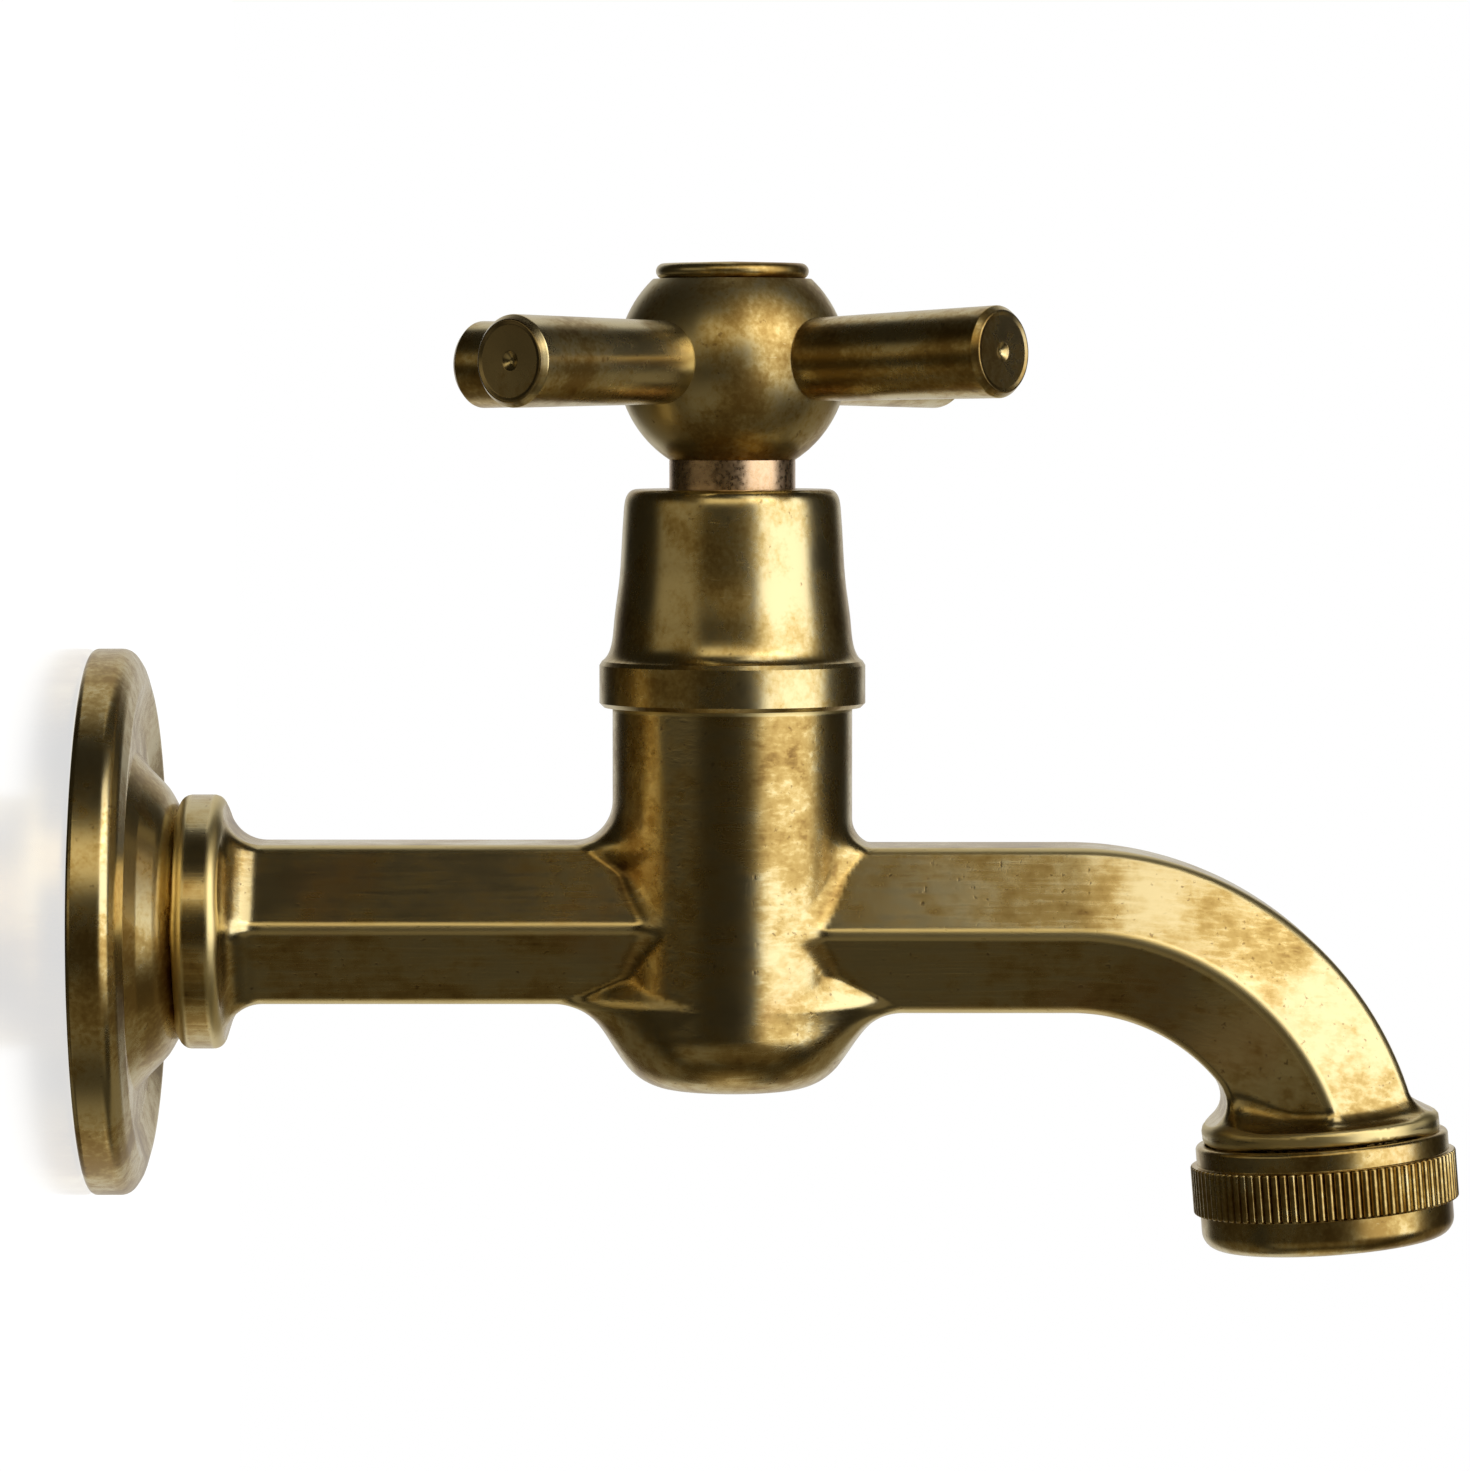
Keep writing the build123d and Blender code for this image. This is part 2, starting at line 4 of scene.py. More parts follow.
import bpy
import numpy as np
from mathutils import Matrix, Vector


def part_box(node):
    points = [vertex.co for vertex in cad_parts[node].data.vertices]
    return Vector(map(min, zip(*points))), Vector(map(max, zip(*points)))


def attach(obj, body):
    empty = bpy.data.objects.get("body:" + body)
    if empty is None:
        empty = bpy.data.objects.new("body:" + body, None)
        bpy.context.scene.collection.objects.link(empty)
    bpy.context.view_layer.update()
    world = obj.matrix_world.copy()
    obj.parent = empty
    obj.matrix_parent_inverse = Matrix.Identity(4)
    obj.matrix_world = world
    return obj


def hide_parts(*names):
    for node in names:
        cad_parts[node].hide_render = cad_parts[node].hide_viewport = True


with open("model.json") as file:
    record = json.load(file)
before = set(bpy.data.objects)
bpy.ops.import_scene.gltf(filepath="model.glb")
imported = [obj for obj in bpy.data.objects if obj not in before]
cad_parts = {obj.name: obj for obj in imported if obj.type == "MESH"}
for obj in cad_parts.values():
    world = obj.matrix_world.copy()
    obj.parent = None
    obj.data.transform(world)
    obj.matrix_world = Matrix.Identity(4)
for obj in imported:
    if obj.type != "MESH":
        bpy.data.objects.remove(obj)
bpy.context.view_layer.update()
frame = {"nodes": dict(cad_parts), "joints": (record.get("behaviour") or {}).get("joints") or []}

import openvdb
from mathutils import Vector

MM = 0.001
joints = {joint["name"]: joint for joint in frame["joints"]}

# ---- places from the frame, in millimetres ------------------------------------------
valve_x = joints["handle_turn"]["pos_m"][0] / MM
outlet_top = Vector(joints["nut_turn"]["pos_m"]) / MM
outlet_way = Vector(joints["nut_turn"]["axis"]).normalized()
chamber_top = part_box("bonnet")[0].z / MM
tail_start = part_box("body")[0].x / MM
collar_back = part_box("wall_flange")[1].x / MM
flange_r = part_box("wall_flange")[1].z / MM

# ---- driving sizes of the pieces made here, in millimetres ----------------------------
tail_r = 10.478
tail_core_r = 9.32
tail_end = 2.0
shank_r = 10.2
collar_front = 15.2
collar_r = 14.55
barrel_apothem = 9.1
ridge_round = 1.7
chamber_r = 13.7
chamber_floor = -19.15
chamber_round = 6.9
casting_top = chamber_top + 0.35   # hidden in the bonnet's ring
spout_apothem = 9.45
spout_z = -0.65
bend_x = 111.8
bend_r = 31.0
bend_end = radians(74)
foot_r = 13.5
foot_rim = -2.0
foot_bottom = -0.2
outlet_thread_r = 13.22
outlet_core_r = 12.06
outlet_thread_start = 0.9
outlet_thread_end = 7.0
thread_pitch = 1.814
hub_z = 63.85
arm_angle = 50.8
arm_rises = (0, 0, 0, 1.6)
arm_length = 38.7
nut_r = 14.45
nut_tip_r = 15.2
knurl_start = 2.35
knurl_end = 7.85
nut_length = 12.1
nut_lip = 9.0
nut_mouth_r = 9.0
flute_count = 90
flute_depth = 0.62

# ---- fillets and waterway of the casting, in millimetres --------------------------------
collar_fillet = 4.4
side_fillet = 1.3             # where the ridges of barrel and spout meet the chamber
barrel_fillet_above = 3.6     # what the fillet grows by above and below those ridges
barrel_fillet_below = 6.0
spout_fillet_above = 1.8
spout_fillet_below = 5.0
inlet_bore_r = 6.4
inlet_bore_end = 56.0
dive_start = (55.5, 0, -0.5)  # the passage from the inlet bore down to the lower chamber
dive_run = (10.5, 0, -9.1)
dive_length = 14.0
dive_r = 4.5
lower_chamber_r = 8.0
lower_chamber_floor = -14.6
seat_bore_r = 4.8
upper_chamber_r = 9.4
headwork_r = 10.478
port_z = 2.7                  # the passage from the upper chamber into the spout
port_r = 4.4
port_length = 22.0
spout_bore_r = 5.8
spout_bore_start = 16.0
foot_bore_r = 7.6
insert_bore_r = 9.3

# ---- meshes --------------------------------------------------------------------------
def new_piece(name, points, faces, body, stands_for=None, normals=None):
    """Make a mesh object from points in millimetres and hand it to the frame."""
    mesh = bpy.data.meshes.new(name)
    mesh.from_pydata((np.asarray(points) * MM).tolist(), [], faces)
    mesh.validate()
    mesh.shade_smooth()
    if normals is not None:
        mesh.normals_split_custom_set_from_vertices(np.asarray(normals).tolist())
    piece = bpy.data.objects.new(name, mesh)
    bpy.context.scene.collection.objects.link(piece)
    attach(piece, body)
    if stands_for:
        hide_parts(stands_for)
    return piece


def directions(axis):
    """An axis with two directions square to it and to each other."""
    axis = Vector(axis).normalized()
    side = axis.orthogonal().normalized()
    return axis, side, axis.cross(side)


def ring_faces(count, size, edges=None):
    """Quads that join outlines of the same size into a closed ring, along the given edges."""
    faces = []
    for turn in range(count):
        here, ahead = turn * size, (turn + 1) % count * size
        for index in edges or range(size):
            after = (index + 1) % size
            faces.append((here + index, ahead + index, ahead + after, here + after))
    return faces


def rounded(corners):
    """Turn closed (radius, along, rounding) corners into outline points and their normals."""
    points, normals = [], []
    for index, (radius, along, rounding) in enumerate(corners):
        here = Vector((radius, along))
        before = Vector(corners[index - 1][:2]) - here
        after = Vector(corners[(index + 1) % len(corners)][:2]) - here
        half = before.angle(after) / 2
        reach = min(rounding / tan(half), 0.49 * before.length, 0.49 * after.length)
        arc_r = reach * tan(half)
        before.normalize()
        after.normalize()
        centre = here + (before + after).normalized() * (arc_r / sin(half))
        first = here + before * reach - centre
        last = here + after * reach - centre
        start = atan2(first.y, first.x)
        sweep = (atan2(last.y, last.x) - start + pi) % (2 * pi) - pi
        bulge = 1 if sweep > 0 else -1
        steps = max(2, ceil(abs(sweep) / radians(9)))
        for step in range(steps + 1):
            turn = start + sweep * step / steps
            out = Vector((cos(turn), sin(turn)))
            points.append(centre + arc_r * out)
            normals.append(bulge * out)
    return points, normals


def lathe(name, corners, origin, axis, body, stands_for=None, count=144):
    """Revolve an anticlockwise outline of (radius, along, rounding) corners about an axis."""
    axis, side, other = directions(axis)
    outline, slopes = rounded(corners)
    points, normals = [], []
    for turn in range(count):
        angle = 2 * pi * turn / count
        out = side * cos(angle) + other * sin(angle)
        for (radius, along), slope in zip(outline, slopes):
            points.append(Vector(origin) + out * max(radius, 0) + axis * along)
            normals.append(out * slope.x + axis * slope.y)
    size = len(outline)
    off_axis = [index for index in range(size) if max(outline[index].x, outline[(index + 1) % size].x) > 1e-6]
    return new_piece(name, points, ring_faces(count, size, off_axis), body, stands_for, normals)


def thread(name, origin, axis, start, end, core_r, tip_r, body):
    """A helical ridge round a core, sunk a little into it, fading out at both ends."""
    axis, side, other = directions(axis)
    per_turn, per_pitch = 96, 10
    rows = int((end - start) / thread_pitch * per_pitch)
    points = []
    for turn in range(per_turn):
        angle = 2 * pi * turn / per_turn
        out = side * cos(angle) + other * sin(angle)
        points.append(Vector(origin) + out * (core_r - 0.6) + axis * start)
        for row in range(rows + 1):
            along = start + (end - start) * row / rows
            phase = (along / thread_pitch - turn / per_turn) % 1
            crest = min(1, max(0, 1.35 * (1 - abs(2 * phase - 1)) - 0.12))
            fade = min(1, (along - start) / thread_pitch, (end - along) / thread_pitch * 1.5)
            radius = core_r - 0.05 + (tip_r - core_r) * crest * max(fade, 0)
            points.append(Vector(origin) + out * radius + axis * along)
        points.append(Vector(origin) + out * (core_r - 0.6) + axis * end)
    piece = new_piece(name, points, ring_faces(per_turn, rows + 3), body)
    piece.data.set_sharp_from_angle(angle=radians(50))
    return piece


# ---- the casting, as a signed distance ---------------------------------------------------
def hexagon(u, v, apothem, corner):
    """Distance to a hexagon that has flats facing up and down and rounded corners."""
    inner = apothem - corner
    u, v = np.abs(u), np.abs(v)
    fold = 2 * np.minimum(0.5 * v - sin(pi / 3) * u, 0)
    u = u + fold * sin(pi / 3)
    v = v - fold * 0.5
    u = u - np.clip(u, -inner * tan(pi / 6), inner * tan(pi / 6))
    return np.hypot(u, v - inner) * np.sign(v - inner) - corner


def drum(radial, along, radius, low, high, corner=0.2):
    """Distance to a cylinder with rounded rims."""
    wall = radial - (radius - corner)
    ends = np.abs(along - (low + high) / 2) - ((high - low) / 2 - corner)
    outside = np.hypot(np.maximum(wall, 0), np.maximum(ends, 0))
    return np.minimum(np.maximum(wall, ends), 0) + outside - corner


def cone(radial, along, low, high, low_r, high_r):
    """Distance to a cone between two heights."""
    lean = hypot(high - low, high_r - low_r)
    wall = ((radial - low_r) * (high - low) - (along - low) * (high_r - low_r)) / lean
    return np.maximum(wall, np.maximum(low - along, along - high))


def melt(first, second, radius):
    """Union of two shapes with a fillet of the given radius between them."""
    soft = np.hypot(np.maximum(radius - first, 0), np.maximum(radius - second, 0))
    return np.maximum(radius, np.minimum(first, second)) - soft


def ease(value, low, high):
    """Go smoothly from 0 at the low end to 1 at the high end."""
    share = np.clip((value - low) / (high - low), 0, 1)
    return share * share * (3 - 2 * share)


def casting(p):
    """Signed distance to the tap's body for an array of points in millimetres."""
    x, y, z = p[:, 0], p[:, 1], p[:, 2]
    inlet_r = np.hypot(y, z)
    valve_r = np.hypot(x - valve_x, y)
    drop = p - np.array(outlet_top)
    depth = drop @ np.array(outlet_way)
    outlet_r = np.linalg.norm(drop - depth[:, None] * np.array(outlet_way), axis=1)

    # inlet: collar, flare and hexagonal barrel
    barrel = np.maximum(hexagon(y, z, barrel_apothem, ridge_round), collar_back + 1 - x)
    barrel = np.maximum(barrel, x - valve_x)
    collar = drum(inlet_r, x, collar_r, collar_back, collar_front, 1.35)
    inlet = melt(barrel, collar, collar_fillet)

    # spout: a hexagon along a straight run and a bend
    rise = z - (spout_z - bend_r)
    run = x - bend_x
    around = np.arctan2(run, rise)
    past = run * sin(bend_end) + rise * cos(bend_end)
    height = np.where(run < 0, rise, np.where(around < bend_end, np.hypot(run, rise), past)) - bend_r
    spout = np.maximum(hexagon(y, height, spout_apothem, ridge_round), valve_x - x)
    spout = np.maximum(spout, depth - foot_bottom)
    foot = drum(outlet_r, depth, foot_r, foot_rim, foot_bottom, 0.45)
    outward = x - outlet_top.x
    flare = 2.2 + 3.6 * ease(-outward, 3, 12) + 1.2 * ease(outward, 6, 12)
    spout = melt(spout, foot, flare)

    # chamber, melted into both
    wall = valve_r - (chamber_r - chamber_round)
    ground = chamber_floor + chamber_round - z + 0.0009 * valve_r**2
    chamber = np.hypot(np.maximum(wall, 0), np.maximum(ground, 0))
    chamber = chamber + np.minimum(np.maximum(wall, ground), 0) - chamber_round
    chamber = np.maximum(chamber, z - casting_top)
    high = ease(z, 5.5, 9.5)
    low = ease(-z, 5.5, 9.5)
    shape = melt(chamber, inlet, side_fillet + barrel_fillet_above * high + barrel_fillet_below * low)
    shape = melt(shape, spout, side_fillet + spout_fillet_above * high + spout_fillet_below * low)
    shape = np.maximum(shape, z - casting_top)

    # the cores of both threads
    shape = np.minimum(shape, drum(inlet_r, x, tail_core_r, tail_start, tail_end, 0.6))
    shape = np.minimum(shape, drum(inlet_r, x, shank_r, tail_end - 0.2, collar_back + 1))
    shape = np.minimum(shape, drum(outlet_r, depth, outlet_core_r, foot_rim, outlet_thread_end))

    # waterway
    dive_way = np.array(dive_run) / hypot(dive_run[0], dive_run[2])
    dive = p - np.array(dive_start)
    dive_along = dive @ dive_way
    dive_off = np.linalg.norm(dive - dive_along[:, None] * dive_way, axis=1)
    bore = np.hypot(y, height)
    channels = (
        drum(inlet_r, x, inlet_bore_r, tail_start - 1, inlet_bore_end),
        drum(dive_off, dive_along, dive_r, 0, dive_length),
        drum(valve_r, z, lower_chamber_r, lower_chamber_floor, -5.0),
        drum(valve_r, z, seat_bore_r, -6.0, -1.5),
        cone(valve_r, z, -2.0, 2.0, 7.0, upper_chamber_r),
        drum(valve_r, z, upper_chamber_r, 1.9, 12.5),
        drum(valve_r, z, headwork_r, 12.0, chamber_top + 1),
        drum(np.hypot(y, z - port_z), x, port_r, valve_x, valve_x + port_length),
        np.maximum(bore - spout_bore_r, np.maximum(valve_x + spout_bore_start - x, depth + 4.5)),
        cone(outlet_r, depth, -4.6, -1.0, 5.0, foot_bore_r),
        drum(outlet_r, depth, foot_bore_r, -1.2, 2.0),
        drum(outlet_r, depth, insert_bore_r, 1.4, outlet_thread_end + 1),
    )
    for channel in channels:
        shape = np.maximum(shape, -channel)
    return shape


def slope_at(p, reach=0.04):
    """Gradient of the casting's distance at an array of points."""
    slope = np.empty_like(p)
    for axis in range(3):
        shift = np.zeros(3)
        shift[axis] = reach
        slope[:, axis] = (casting(p + shift) - casting(p - shift)) / (2 * reach)
    return slope


def roundness(p, reach):
    """How far the neighbourhood of each point stands out (+) or is hollow (-)."""
    total = np.zeros(len(p))
    steps = (-1, 0, 1)
    cube = [Vector((a, b, c)) for a in steps for b in steps for c in steps]
    ways = [corner.normalized() for corner in cube if corner.length > 0]
    for way in ways:
        total += casting(p + reach * np.array(way))
    return total / len(ways) / reach


def build_casting():
    """Mesh the casting: a grid of distances, then each point drawn onto the true surface."""
    step = 0.46    # grid cell in millimetres
    band = 2.0                             # distances are kept up to this far from the surface
    low = np.array(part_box("body")[0]) / MM - 3 * step
    high = np.array(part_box("body")[1]) / MM + 3 * step
    counts = np.ceil((high - low) / step).astype(int)
    axes = [low[axis] + step * np.arange(counts[axis]) for axis in range(3)]
    across = np.stack(np.meshgrid(axes[1], axes[2], indexing="ij"), axis=-1).reshape(-1, 2)
    values = np.empty(counts, np.float32)
    for index, x in enumerate(axes[0]):
        layer = np.column_stack((np.full(len(across), x), across))
        values[index] = casting(layer).reshape(counts[1], counts[2])
    grid = openvdb.FloatGrid(band)
    grid.copyFromArray(np.clip(values, -band, band))
    points, triangles, quads = grid.convertToPolygons(0.0, 0.0)
    points = points * step + low
    for _ in range(3):
        slope = slope_at(points)
        steepness = np.maximum((slope**2).sum(1), 0.2)
        move = casting(points) / steepness
        points = points - slope * np.clip(move, -0.3, 0.3)[:, None]
    slope = slope_at(points)
    normals = slope / np.linalg.norm(slope, axis=1)[:, None]
    faces = [tuple(face) for face in triangles.tolist()] + [tuple(face) for face in quads.tolist()]
    corner = [points[faces[-1][index]] for index in range(3)]
    facing = np.cross(corner[1] - corner[0], corner[2] - corner[0])
    if facing @ normals[faces[-1][0]] < 0:
        faces = [face[::-1] for face in faces]
    piece = new_piece("tap_casting", points, faces, "tap_body", "body", normals)
    for name, reach in (("edge", 0.9), ("hollow", 2.6)):
        layer = piece.data.attributes.new(name, "FLOAT", "POINT")
        layer.data.foreach_set("value", roundness(points, reach).astype(np.float32))
    return piece


# ---- pieces --------------------------------------------------------------------------------
pieces = {"casting": build_casting()}
pieces["inlet_thread"] = thread(
    "tail_thread", (0, 0, 0), (1, 0, 0), tail_start + 0.3, tail_end,
    tail_core_r, tail_r, "tap_body")
pieces["outlet_thread"] = thread(
    "foot_thread", outlet_top, outlet_way, outlet_thread_start, outlet_thread_end,
    outlet_core_r, outlet_thread_r, "tap_body")

# wall flange: a turned cover with a rolled rim, a hollow, and a cone that meets the collar
pieces["flange"] = lathe("flange_cover", [
    (flange_r - 1.5, 0.0, 0.3), (flange_r, 0.0, 1.0), (flange_r, 4.3, 1.9),
    (29.6, 5.4, 3.0), (27.2, 6.1, 1.6), (23.0, 4.85, 2.5), (19.4, 5.0, 0.5), (17.6, 6.4, 3.0),
    (15.4, 8.6, 6.0), (12.9, collar_back, 0.5), (10.8, collar_back, 0.3),
    (10.8, collar_back - 1.5, 0.3), (12.5, collar_back - 1.5, 1.0), (15.0, 6.9, 3.0),
    (18.6, 3.5, 1.0), (23.0, 3.4, 2.0), (27.2, 5.1, 1.0), (flange_r - 1.5, 3.9, 0.8),
], (0, 0, 0), (1, 0, 0), "tap_body", "wall_flange", 192)


def arm_heading(number):
    """Direction of an arm, turned about the valve line from +X."""
    return radians(arm_angle + 90 * number)


for number in range(4):
    heading = arm_heading(number)
    rise = radians(arm_rises[number])
    way = (cos(heading) * cos(rise), sin(heading) * cos(rise), sin(rise))
    pieces[f"arm_{number + 1}"] = lathe(f"arm_{number + 1}", [
        (0, 7.7, 0.01), (3.0, 7.7, 0.3), (3.0, 12.3, 0.1), (4.7, 12.3, 0.25),
        (5.12, arm_length - 0.85, 0.3), (4.5, arm_length - 0.05, 0.25), (4.0, arm_length - 0.22, 0.3),
        (1.1, arm_length - 0.26, 0.2), (0.35, arm_length - 0.7, 0.2), (0, arm_length - 0.75, 0.01),
    ], (valve_x, 0, hub_z), way, "handle", f"handle_arm_{number + 1}", 96)


def knurled_nut():
    """The outlet nut, with rounded flutes round its band."""
    outline, _ = rounded([
        (outlet_thread_r + 0.06, 0.0, 0.3), (nut_r, 0.0, 0.55), (nut_r, knurl_start - 0.05, 0.12),
        (nut_tip_r, knurl_start, 0.25), (nut_tip_r, knurl_end, 0.25), (nut_r, knurl_end + 0.05, 0.12),
        (nut_r, nut_length - 0.04, 3.2), (nut_mouth_r, nut_length - 0.04, 0.4), (nut_mouth_r, nut_lip, 0.2),
        (outlet_thread_r + 0.06, nut_lip, 0.2),
    ])
    axis, side, other = directions(outlet_way)
    per_flute = 8
    count = flute_count * per_flute
    points = []
    for turn in range(count):
        angle = 2 * pi * turn / count
        out = side * cos(angle) + other * sin(angle)
        swell = abs(2 * (turn % per_flute) / per_flute - 1)
        ridge = (1 - swell**2.6) ** 0.7
        for radius, along in outline:
            proud = min(1, max(0, (radius - nut_r) / 0.3))
            cut = flute_depth * (1 - ridge) * proud if knurl_start <= along <= knurl_end else 0
            points.append(outlet_top + out * (radius - cut) + axis * along)
    faces = ring_faces(count, len(outline))
    piece = new_piece("knurled_nut", points, faces, "outlet_nut", "outlet_nut")
    piece.data.set_sharp_from_angle(angle=radians(40))
    return piece


pieces["nut"] = knurled_nut()


# ---- materials ---------------------------------------------------------------------------------
class Graph:
    """A node tree with short calls for the nodes used below."""

    def __init__(self, tree):
        self.tree = tree

    def node(self, kind, **settings):
        made = self.tree.nodes.new(kind)
        for key, value in settings.items():
            setattr(made, key, value)
        return made

    def put(self, value, socket):
        if isinstance(value, bpy.types.NodeSocket):
            self.tree.links.new(value, socket)
        else:
            socket.default_value = value

    def calc(self, operation, *values):
        made = self.node("ShaderNodeMath", operation=operation)
        for value, socket in zip(values, made.inputs):
            self.put(value, socket)
        return made.outputs[0]

    def sway(self, total, part, middle, weight):
        """Add to a total how far a part is from its middle, times a weight."""
        return self.calc("ADD", total, self.calc("MULTIPLY", self.calc("SUBTRACT", part, middle), weight))

    def vector(self, operation, *values):
        made = self.node("ShaderNodeVectorMath", operation=operation)
        for value, socket in zip(values, made.inputs):
            self.put(value, socket)
        return made.outputs["Value" if operation in ("DOT_PRODUCT", "LENGTH") else "Vector"]

    def scaled(self, vector, factor):
        made = self.node("ShaderNodeVectorMath", operation="SCALE")
        self.put(vector, made.inputs[0])
        self.put(factor, made.inputs["Scale"])
        return made.outputs["Vector"]

    def ramp(self, value, low, high, to_low=0.0, to_high=1.0):
        made = self.node("ShaderNodeMapRange", interpolation_type="SMOOTHSTEP")
        for item, socket in zip((value, low, high, to_low, to_high), made.inputs):
            self.put(item, socket)
        return made.outputs[0]

    def blend(self, share, first, second):
        made = self.node("ShaderNodeMix", data_type="RGBA")
        self.put(share, made.inputs["Factor"])
        self.put(first, made.inputs["A"])
        self.put(second, made.inputs["B"])
        return made.outputs["Result"]

    def noise(self, vector, scale, detail=3.0, rough=0.55):
        made = self.node("ShaderNodeTexNoise")
        self.put(vector, made.inputs["Vector"])
        made.inputs["Scale"].default_value = scale
        made.inputs["Detail"].default_value = detail
        made.inputs["Roughness"].default_value = rough
        return made.outputs["Fac"]

    def bump(self, height, distance, strength, under=None):
        made = self.node("ShaderNodeBump")
        made.inputs["Strength"].default_value = strength
        made.inputs["Distance"].default_value = distance
        self.put(height, made.inputs["Height"])
        if under:
            self.put(under, made.inputs["Normal"])
        return made.outputs["Normal"]


def new_material(name):
    material = bpy.data.materials.new(name)
    material.use_nodes = True
    shader = material.node_tree.nodes["Principled BSDF"]
    graph = Graph(material.node_tree)
    place = graph.node("ShaderNodeTexCoord").outputs["Object"]
    return material, graph, shader, place


def rings_round(graph, place, origin, axis, fine):
    """A texture place that varies fast along and out from an axis and slowly round it."""
    axis = tuple(Vector(axis).normalized())
    offset = graph.vector("SUBTRACT", place, tuple(Vector(origin) * MM))
    along = graph.vector("DOT_PRODUCT", offset, axis)
    radial = graph.vector("SUBTRACT", offset, graph.scaled(axis, along))
    out = graph.vector("NORMALIZE", radial)
    reach = graph.calc("MULTIPLY", graph.vector("LENGTH", radial), fine)
    spread = graph.scaled(out, graph.calc("ADD", reach, 1.2))
    return graph.vector("ADD", spread, graph.scaled(axis, graph.calc("MULTIPLY", along, fine)))


def streaks(graph, place, turn, long_scale, fine_scale, low, high):
    """Thin scratches that run in one direction."""
    mapping = graph.node("ShaderNodeMapping")
    mapping.inputs["Rotation"].default_value = turn
    mapping.inputs["Scale"].default_value = (long_scale, fine_scale, fine_scale)
    graph.put(place, mapping.inputs["Vector"])
    return graph.ramp(graph.noise(mapping.outputs["Vector"], 1.0, 2.0), low, high)


BRIGHT = (0.58, 0.485, 0.265, 1)
GOLD = (0.48, 0.35, 0.13, 1)
PATINA = (0.30, 0.19, 0.055, 1)
UMBER = (0.14, 0.075, 0.024, 1)
COPPER = (0.46, 0.25, 0.11, 1)
RUBBED = (0.74, 0.60, 0.28, 1)


def turned_brass(name, origin, axis, polish=0.5, age=0.5, roughness=0.3, painted_shade_from=None):
    """Lathe-turned brass: brushing round the axis, brown patina, and painted shade (colour darkened towards
    umber) beyond a distance along it.
    """
    material, graph, shader, place = new_material(name)
    rings = rings_round(graph, place, origin, axis, 1500)
    wide_rings = rings_round(graph, place, origin, axis, 260)
    brushing = graph.noise(rings, 1.0, 3.0, 0.6)
    bands = graph.noise(wide_rings, 1.0, 2.0)
    cloud = graph.noise(place, 85.0, 5.0, 0.6)
    speck = graph.noise(place, 900.0, 3.0)
    worn = graph.sway(cloud, bands, 0.5, 0.35)
    worn = graph.sway(worn, brushing, 0.5, 0.35)
    colour = graph.blend(graph.ramp(worn, 0.50 - 0.22 * polish, 0.66 - 0.1 * polish), GOLD, BRIGHT)
    colour = graph.blend(graph.ramp(worn, 0.60 * age + 0.22, 0.60 * age), colour, PATINA)
    colour = graph.blend(graph.ramp(speck, 0.66, 0.74, 0.0, 0.55), colour, UMBER)
    coppery = graph.ramp(graph.noise(place, 42.0, 2.0), 0.60, 0.74, 0.0, 0.30)
    colour = graph.blend(coppery, colour, COPPER)
    scratch = streaks(graph, place, (0.3, 0.5, 0.9), 120, 2600, 0.70, 0.74)
    colour = graph.blend(graph.calc("MULTIPLY", scratch, 0.4), colour, BRIGHT)
    # painted shade: beyond this distance along the axis (an arm's end face) the colour is darkened towards
    # umber
    if painted_shade_from:
        offset = graph.vector("SUBTRACT", place, tuple(Vector(origin) * MM))
        along = graph.vector("DOT_PRODUCT", offset, tuple(Vector(axis).normalized()))
        colour = graph.blend(graph.ramp(along, painted_shade_from, painted_shade_from + 0.0002, 0.0, 0.4), colour, UMBER)
    graph.put(colour, shader.inputs["Base Color"])
    rough = graph.ramp(worn, 0.35, 0.65, roughness, roughness - 0.08)
    graph.put(graph.calc("ADD", rough, graph.calc("MULTIPLY", brushing, 0.06)), shader.inputs["Roughness"])
    normal = graph.bump(brushing, 0.000004, 0.5)
    normal = graph.bump(bands, 0.00001, 0.4, normal)
    normal = graph.bump(scratch, 0.000006, 0.5, normal)
    graph.put(normal, shader.inputs["Normal"])
    shader.inputs["Metallic"].default_value = 1.0
    return material


